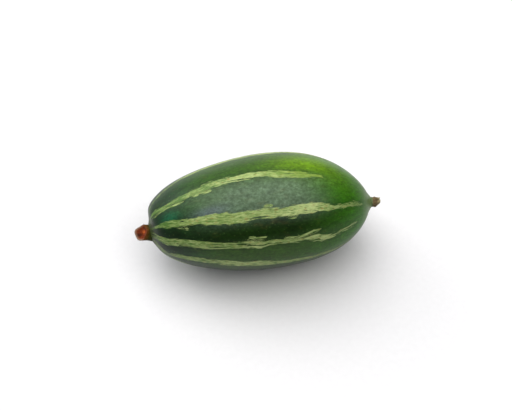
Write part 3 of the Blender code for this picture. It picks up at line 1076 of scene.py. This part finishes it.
        # Millimetres round and along the rind, for patterns that follow it
        girth = self.diameter / 2 / MM
        unrolled = self.length / MM / 2.5
        rind = add("ShaderNodeCombineXYZ", (upward, sideways, polar))
        rind = add(VECTOR_MATH, (rind, (girth, girth, unrolled)), "MULTIPLY")
        lumps = add(VECTOR_MATH, (rind, size["Lump size"]), "DIVIDE")
        lumps = add(NOISE, {"Vector": lumps, "Scale": 1.0, "Detail": 2.0})
        ease = add(MATH, (ring, 3.0), "MULTIPLY", use_clamp=True)
        dent = run(lumps, ("MULTIPLY_ADD", size["Lump depth"], size["Inset"]), ("MULTIPLY", ease))
        radius = run(radius, ("SUBTRACT", dent))

        # The bend, in the level plane
        bend = size["Bend radius"]
        turn = run(along, ("DIVIDE", bend))
        reach = run(bend, ("SUBTRACT", run(radius, ("MULTIPLY", sideways))))
        x = run(turn, ("SINE",), ("MULTIPLY", reach))
        y = run(turn, ("COSINE",), ("MULTIPLY", reach), ("SUBTRACT", bend))
        place = add("ShaderNodeCombineXYZ", (x, y, run(radius, ("MULTIPLY", upward))))

        edge, looseness, tone, across = self.stripe_fields(add, around, share, radius_mm)
        lengthwise = run(polar, ("MULTIPLY", unrolled))
        stored = {
            "rind": rind,
            "stripe_place": add("ShaderNodeCombineXYZ", (across, 0.0, lengthwise)),
            "stripe_edge": edge,
            "stripe_looseness": looseness,
            "stripe_tone": tone,
            "share": share,
            # painted shade, darker towards the underside
            "belly": add(RANGE, (upward, *self.belly)),
        }
        for patch in self.patches:
            off = run(around, ("SUBTRACT", math.radians(patch.around)), HALF_TURNS)
            across = run(off, ("MULTIPLY", radius_mm))
            lengthwise = run(share, ("SUBTRACT", patch.share))
            both = run(share, ("MULTIPLY", 0.0))
            for away, reach in zip((across, lengthwise), patch.size):
                away = run(away, ("DIVIDE", reach), ("ABSOLUTE",), ("POWER", patch.steepness))
                both = run(both, ("SUBTRACT", away))
            stored[patch.name] = run(both, ("EXPONENT",))

        shape = sphere
        for name, value in stored.items():
            kind = "FLOAT_VECTOR" if FRUIT_ATTRIBUTES[name] == "Vector" else "FLOAT"
            values = {"Geometry": shape, "Name": name, "Value": value}
            shape = add("GeometryNodeStoreNamedAttribute", values, data_type=kind)
        shape = add("GeometryNodeSetPosition", {"Geometry": shape, "Position": place})
        close_geometry_tree(add, shape, size["Finish"])
        return tree

    def build(self, tip: "BlossomTip", box: Box) -> Piece:
        """Makes the skin, finds its place in the frame and sets it there.

        Args:
            tip: the blossom tip, whose point tells where the fruit lies along X.
            box: the box of all the solids.

        Returns:
            The fruit.
        """
        tip_low, tip_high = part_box("blossom_tip")
        low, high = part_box("fruit")
        mesh = mesh_from_tree(self.skin_tree(), self.sizes(), bpy.data.materials.new("unset"))
        places = [vertex.co for vertex in mesh.vertices]
        widths = [place.y for place in places]
        self.offset = Vector(
            (
                tip_high.x - (tip.frame(self) @ tip.point()).x,
                (low.y + high.y) / 2 - (min(widths) + max(widths)) / 2,
                high.z - max(place.z for place in places) - self.inset,
            )
        )
        mesh.transform(Matrix.Translation(self.offset))
        ends = [self.frame_at(*self.end_axis(end), 0.0).translation for end in (End.STALK, End.TIP)]
        mesh.materials.clear()
        mesh.materials.append(self.finish.material(*ends))
        return add_piece("fruit_skin", mesh, "skin", "fruit", box)


def turned_mesh(name: str, rings: list[list[Vector]]) -> Mesh:
    """Joins closed rings of points to a skin, with its first and last ring drawn to their middles.

    Args:
        name: the mesh's name.
        rings: the rings, each with as many points, from the inside of the top to the bottom.

    Returns:
        The mesh, closed, with its faces pointing out.
    """
    shell = bmesh.new()
    made = [[shell.verts.new(point) for point in ring] for ring in rings]
    count = len(made[0])
    for upper, lower in zip(made, made[1:]):
        for k in range(count):
            shell.faces.new((upper[k], lower[k], lower[(k + 1) % count], upper[(k + 1) % count]))
    for ring in (made[0], made[-1]):
        middle = shell.verts.new(sum((vertex.co for vertex in ring), Vector()) / count)
        for k in range(count):
            shell.faces.new((ring[k], ring[(k + 1) % count], middle))
    bmesh.ops.recalc_face_normals(shell, faces=shell.faces)
    mesh = bpy.data.meshes.new(name)
    shell.to_mesh(mesh)
    shell.free()
    mesh.shade_smooth()
    return mesh


def store_floats(mesh: Mesh, name: str, values: list[float]) -> None:
    """Stores a number for each point of a turned mesh. Its two poles take the first and the last number."""
    padded = values + [values[0], values[-1]]
    mesh.attributes.new(name, "FLOAT", "POINT").data.foreach_set("value", padded)


@dataclass
class StalkStub:
    """The stub of the stalk: five-cornered, torn on a slant that faces up, with a tongue left at its back."""

    radius: float = 3.2 * MM
    rim_radius: float = 3.0 * MM
    length: float = 3.8 * MM  # at its middle
    root: float = 1.6 * MM
    slant: float = 0.60  # rise of the torn face over its width
    dish: float = 0.8 * MM
    lip: float = 0.5 * MM
    corners: int = 5
    corner_height: float = 0.055  # of the radius
    corner_at: float = math.radians(71.0)
    tongue_height: float = 1.1 * MM
    tongue_at: float = math.radians(151.0)
    torn_around: float = math.radians(11.0)
    lean: float = 0.22
    lean_around: float = math.radians(-60.0)
    ribs: int = 15
    rib_depth: float = 0.035  # of the radius
    dish_rings: int = 14
    side_rings: int = 11
    waist_depth: float = 0.15 * MM
    rim_drop: float = 0.3 * MM  # from the rim to the highest ring of the side
    tear_depth: float = 0.22 * MM
    tear_size: float = 0.55 * MM
    fine_tear_size: float = 0.25 * MM
    segments: int = 120
    fibre_density: float = 3.2e6  # to the square metre of torn rim
    fibre_length: float = 0.42 * MM
    fibre_thickness: float = 0.045 * MM
    fibre_sides: int = 5
    fibre_turn: tuple[float, float, float] = (0.7, 0.7, 3.1)  # radians either way, the last about itself
    fibre_share: Size = (0.35, 1.0)  # of the full length, for the shortest and the longest
    fibre_seed: int = 7
    finish: TornStalk = field(default_factory=TornStalk)

    def frame(self, fruit: Fruit) -> Matrix:
        """Where the stub stands: on the stalk's pole, and leaning a little."""
        along, outward = fruit.end_axis(End.STALK)
        outward = outward + self.lean * fruit.around_direction(self.lean_around)
        return fruit.frame_at(along, outward.normalized(), self.torn_around)

    def profile(self) -> list[tuple[float, float, float, float]]:
        """The outline from the torn face's middle to the root: radius, height, and shares of face and rim."""
        dish_radius = self.rim_radius - self.lip
        waist = (self.radius + self.rim_radius) / 2 - self.waist_depth
        points = []
        for step in range(1, self.dish_rings + 1):
            share = step / self.dish_rings
            height = self.length - self.dish * (1 - share**2)
            points.append((dish_radius * share, height, 1.0, max(0.0, share - 0.85) * 3))
        # How many lips in from the rim's edge, how many millimetres above it, and the shares
        for inward, above, face, rim in (
            (0.7, 0.02, 1.0, 0.8), (0.45, 0.08, 1.0, 1.0), (0.2, 0.02, 0.8, 1.0), (0.0, -0.14, 0.2, 0.8)
        ):
            points.append((self.rim_radius - inward * self.lip, self.length + above * MM, face, rim))
        for step in range(1, self.side_rings + 1):
            share = step / self.side_rings
            height = (1 - share) * (self.length - self.rim_drop)
            width = waist + (self.radius - waist) * max(0.0, share - 0.55) / 0.45
            points.append((width if share > 0.15 else self.rim_radius, height, 0.0, 0.0))
        # The root: shares of the radius and of the root's depth
        for wide, deep in ((1.0, 0.5), (1.0, 1.0), (0.5, 1.0)):
            points.append((self.radius * wide, -self.root * deep, 0.0, 0.0))
        return points

    def fibres(self, stub: Mesh, finish: Material) -> Mesh:
        """Grows short torn fibres on the stub's rim.

        Args:
            stub: the stub's mesh, which stores where its rim is.
            finish: the stub's material.

        Returns:
            A mesh of the stub with its fibres, which take the colour of the place that they grow from.
        """
        sizes = {
            "Density": self.fibre_density,
            "Length": self.fibre_length,
            "Thickness": self.fibre_thickness,
            "Seed": self.fibre_seed,
        }
        tree, add, size = new_geometry_tree("torn_fibres", sizes)
        carrier = put_in_scene("stub_for_fibres", stub)
        ground = add("GeometryNodeObjectInfo", {"Object": carrier}).outputs["Geometry"]
        rim = add("GeometryNodeInputNamedAttribute", {"Name": "on_rim"})
        torn = add(MATH, (rim, 0.5), "GREATER_THAN")
        scatter = {"Mesh": ground, "Selection": torn, "Density": size["Density"], "Seed": size["Seed"]}
        spread = add("GeometryNodeDistributePointsOnFaces", scatter)
        fine = add(MATH, (size["Thickness"], 0.25), "MULTIPLY")
        taper = {"Radius Top": fine, "Radius Bottom": size["Thickness"], "Depth": size["Length"]}
        strand = add("GeometryNodeMeshCone", {"Vertices": self.fibre_sides, **taper})
        least = tuple(-turn for turn in self.fibre_turn)
        lean = add(RANDOM, {0: least, 1: self.fibre_turn, "Seed": size["Seed"]}, data_type="FLOAT_VECTOR")
        turns = {"Rotation": spread.outputs["Rotation"], "Rotate By": lean}
        turned = add("FunctionNodeRotateEuler", turns, space="LOCAL")
        least, most = self.fibre_share
        length = add(RANDOM, {2: least, 3: most, "Seed": size["Seed"]}, data_type="FLOAT").outputs[1]
        planted = {"Points": spread, "Instance": strand, "Rotation": turned, "Scale": length}
        both = add("GeometryNodeJoinGeometry", {0: add("GeometryNodeInstanceOnPoints", planted)})
        tree.links.new(ground, both.inputs[0])
        close_geometry_tree(add, both, size["Finish"])
        mesh = mesh_from_tree(tree, sizes, finish)
        bpy.data.objects.remove(carrier)
        return mesh

    def build(self, fruit: Fruit, box: Box) -> Piece:
        """Makes the stub and sets it on the fruit.

        Args:
            fruit: the fruit, which gives its place.
            box: the box of all the solids.

        Returns:
            The stub.
        """
        rings = []
        torn_at, on_face, on_rim, rises = [], [], [], []
        for radius, height, face, rim in self.profile():
            ring = []
            rise = max(height, 0.0) / self.length
            cornered = self.corner_height * min(rise * 2, 1.0)
            ribbed = self.rib_depth * (1 - face) * min(rise * 4, 1.0)
            backed = self.tongue_height * radius / self.rim_radius
            for k in range(self.segments):
                angle = 2 * math.pi * k / self.segments
                corner = 1 + cornered * math.cos(self.corners * (angle - self.corner_at))
                rib = 1 - ribbed * (0.5 - 0.5 * math.cos(self.ribs * angle))
                x = radius * corner * rib * math.cos(angle)
                y = radius * corner * rib * math.sin(angle)
                tongue = backed * max(math.cos(angle - self.tongue_at), 0.0) ** 3
                coarse = noise.noise(Vector((x, y, 0.0)) / self.tear_size)
                fine = noise.noise(Vector((x, y, 4.0)) / self.fine_tear_size)
                torn = self.tear_depth * (coarse * 0.5 + fine * 0.3 - 0.5) * face
                ring.append(Vector((x, y, height + torn + rise * (tongue - self.slant * x))))
                torn_at.extend((x / MM, y / MM, 0.0))
            on_face += [face] * self.segments
            on_rim += [rim] * self.segments
            rises += [rise] * self.segments
            rings.append(ring)
        mesh = turned_mesh("stalk_stub", rings)
        torn_at += torn_at[:3] + torn_at[-3:]
        mesh.attributes.new("torn_at", "FLOAT_VECTOR", "POINT").data.foreach_set("vector", torn_at)
        for name, values in (("on_face", on_face), ("on_rim", on_rim), ("rise", rises)):
            store_floats(mesh, name, values)
        mesh = self.fibres(mesh, self.finish.material())
        mesh.transform(self.frame(fruit))
        return add_piece("torn_stalk", mesh, "stalk", "stalk_stub", box)


@dataclass
class BlossomTip:
    """The dry blossom tip: a shrivelled, folded cup that leans as it narrows, with a ragged lip."""

    radius: float = 1.9 * MM
    length: float = 3.2 * MM
    root: float = 1.3 * MM
    folds: int = 5
    fold_height: float = 0.09  # of the radius
    fold_twist: float = math.radians(50.0)
    lean: float = 0.25  # of its length
    around: float = math.radians(-20.0)
    segments: int = 110
    hollow_depth: float = 0.9 * MM
    fine_fold_depth: float = 0.035  # of the radius
    dent_depth: float = 0.16  # of the radius
    lip_tear: float = 0.30  # of its length
    finish: DryBlossom = field(default_factory=DryBlossom)

    def frame(self, fruit: Fruit) -> Matrix:
        """Where the tip stands: on top of the nipple."""
        return fruit.frame_at(*fruit.end_axis(End.TIP), self.around)

    def point(self) -> Vector:
        """The solid's outermost point, in the tip's own frame."""
        return Vector((self.lean * self.length, 0.0, self.length))

    def profile(self) -> list[tuple[float, float, float]]:
        """The outline from inside the hollow, over the lip, to the root: radius, height, share inside."""
        floor = 1 - self.hollow_depth / self.length
        root = self.root / self.length
        # Shares of the radius and of the length, and of the inside
        hollow = ((0.12, floor - 0.20, 1.0), (0.26, floor - 0.10, 1.0), (0.36, floor, 1.0))
        lip = ((0.42, 0.88, 0.7), (0.47, 0.95, 0.2), (0.53, 0.96, 0.0), (0.57, 0.90, 0.0))
        cup = ((0.62, 0.80), (0.70, 0.69), (0.81, 0.58), (0.92, 0.48), (1.01, 0.38), (1.05, 0.29))
        neck = ((1.00, 0.21), (0.97, 0.14), (0.96, 0.08), (1.02, 0.02))
        foot = ((1.0, 0.0), (1.0, -root / 2), (1.0, -root), (0.5, -root))
        points = hollow + lip + tuple((wide, high, 0.0) for wide, high in cup + neck + foot)
        return [(wide * self.radius, high * self.length, inside) for wide, high, inside in points]

    def build(self, fruit: Fruit, box: Box) -> Piece:
        """Makes the tip and sets it on the fruit.

        Args:
            fruit: the fruit, which gives its place.
            box: the box of all the solids.

        Returns:
            The tip.
        """
        rings = []
        insides, rises, crease_shades = [], [], []
        for radius, height, inside in self.profile():
            ring = []
            rise = max(height, 0.0) / self.length
            above = min(rise * 3, 1.0)
            folded = self.fold_height * (1 + rise) * above
            torn = self.lip_tear * self.length * max(rise - 0.7, 0.0) / 0.3
            for k in range(self.segments):
                angle = 2 * math.pi * k / self.segments
                sideways, upright = math.cos(angle), math.sin(angle)
                fold = math.cos(self.folds * angle + self.fold_twist * rise)
                fine = math.cos(3 * self.folds * angle + 2.5 * self.fold_twist * rise + 1.0)
                dent = noise.noise(Vector((sideways, upright, 2.2 * rise)) * 1.7)
                crumpled = self.dent_depth * dent - self.fine_fold_depth * (1 + fine)
                wide = radius * (1 + folded * fold + crumpled * above)
                ragged = max(noise.noise(Vector((sideways, upright, 3.0)) * 2.6), 0.0)
                x = wide * sideways + self.lean * self.length * rise**2
                ring.append(Vector((x, wide * upright, height - torn * ragged)))
                # painted shade: how far into a fold's crease a point is
                crease_shades.append(max(0.0, -fold) * 0.55 * above)
            insides += [inside] * self.segments
            rises += [rise] * self.segments
            rings.append(ring)
        mesh = turned_mesh("blossom_tip", rings)
        for name, values in (("inside", insides), ("rise", rises), ("crease", crease_shades)):
            store_floats(mesh, name, values)
        mesh.materials.append(self.finish.material())
        mesh.transform(self.frame(fruit))
        return add_piece("dry_blossom_tip", mesh, "dry_tip", "blossom_tip", box)


@dataclass(frozen=True)
class Lamp:
    """A soft rectangular lamp that faces the gourd: its size and place in metres, and its power in watts."""

    size: tuple[float, float]
    place: tuple[float, float, float]
    power: float


@dataclass
class Studio:
    """A plain pale floor, a broad soft light overhead, and a camera that looks down on the gourd."""

    azimuth: float = math.radians(-9.2)
    elevation: float = math.radians(60.0)
    distance: float = 0.456
    lens: float = 85.0  # mm
    sensor: float = 36.0  # mm
    look_height: float = 21.9 * MM
    look_pixel: Size = (257.5, 212.6)  # where the middle of the gourd is in the picture
    picture: tuple[int, int] = (512, 410)
    floor_size: float = 4.0
    softbox: Lamp = Lamp((1.20, 0.60), (0.07, 0.05, 0.62), 5.9)
    side_lamp: Lamp = Lamp((0.45, 0.35), (-0.50, 0.45, 0.42), 1.4)
    lamp_white: str = "#fffdfa"
    sky_bright: str = "#f2f4f6"
    sky_dim: str = "#1e1f20"
    sky_towards: tuple[float, float, float] = (-0.62, 0.74, 0.26)
    finish: PaleFloor = field(default_factory=PaleFloor)

    def set_camera(self) -> None:
        """Aims the camera so that the gourd's middle falls on its pixel in the picture."""
        right = Vector((math.cos(self.azimuth), math.sin(self.azimuth), 0.0))
        level_back = Vector((right.y, -right.x, 0.0))
        back = level_back * math.cos(self.elevation) + Vector((0.0, 0.0, math.sin(self.elevation)))
        up = back.cross(right)
        pixels_per_metre = self.lens / self.sensor * self.picture[0] / self.distance
        aside = (self.look_pixel[0] - self.picture[0] / 2) / pixels_per_metre
        below = (self.look_pixel[1] - self.picture[1] / 2) / pixels_per_metre
        data = bpy.data.cameras.new("camera")
        data.lens = self.lens
        data.sensor_width = self.sensor
        data.clip_start = 0.01
        camera = put_in_scene("camera", data)
        look_at = Vector((0.0, 0.0, self.look_height)) - right * aside + up * below
        camera.location = look_at + back * self.distance
        camera.rotation_euler = (-back).to_track_quat("-Z", "Y").to_euler()
        bpy.context.scene.camera = camera

    def lay_floor(self) -> None:
        """Lays the floor under the gourd, as part of the stage."""
        sheet = bmesh.new()
        bmesh.ops.create_grid(sheet, x_segments=8, y_segments=8, size=self.floor_size / 2)
        mesh = bpy.data.meshes.new("floor")
        sheet.to_mesh(mesh)
        sheet.free()
        mesh.materials.append(self.finish.material())
        put_in_scene("floor", mesh)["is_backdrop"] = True

    def hang_lamps(self) -> None:
        """Hangs a broad softbox overhead, and a weaker lamp behind to the left."""
        for name, lamp in (("softbox", self.softbox), ("side_lamp", self.side_lamp)):
            data = bpy.data.lights.new(name, "AREA")
            data.shape = "RECTANGLE"
            data.size, data.size_y = lamp.size
            data.energy = lamp.power
            data.color = srgb(self.lamp_white)[:3]
            hung = put_in_scene(name, data)
            hung.location = lamp.place
            hung.rotation_euler = Vector(lamp.place).to_track_quat("Z", "Y").to_euler()

    def paint_sky(self) -> None:
        """Gives the room around: pale behind and to the left, and dim in front, where no light stands."""
        world = bpy.data.worlds.new("room")
        world.use_nodes = True
        tree = world.node_tree
        add = partial(add_node, tree)
        direction = add("ShaderNodeTexCoord").outputs["Generated"]
        towards = tuple(Vector(self.sky_towards).normalized())
        facing = add(VECTOR_MATH, (direction, towards), "DOT_PRODUCT").outputs["Value"]
        amount = add(RANGE, (facing, -0.05, 1.0), interpolation_type="SMOOTHSTEP")
        colour = layered(add, srgb(self.sky_dim), [(self.sky_bright, amount)])
        set_inputs(tree, tree.nodes["Background"], {"Color": colour})
        bpy.context.scene.world = world

    def build(self) -> None:
        """Sets the stage. Colours are shown as they are, with no film look over them."""
        bpy.context.scene.view_settings.view_transform = "Standard"
        self.set_camera()
        self.lay_floor()
        self.hang_lamps()
        self.paint_sky()
        LOG.info("studio: camera, floor, two lamps and room")


def main() -> None:
    """Loads the frame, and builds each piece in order."""
    logging.basicConfig(level=logging.INFO, format="%(message)s")
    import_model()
    solid_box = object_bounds()
    Studio().build()
    fruit, stub, tip = Fruit(), StalkStub(), BlossomTip()
    fruit.build(tip, solid_box)
    stub.build(fruit, solid_box)
    tip.build(fruit, solid_box)


if __name__ == "__main__":
    main()
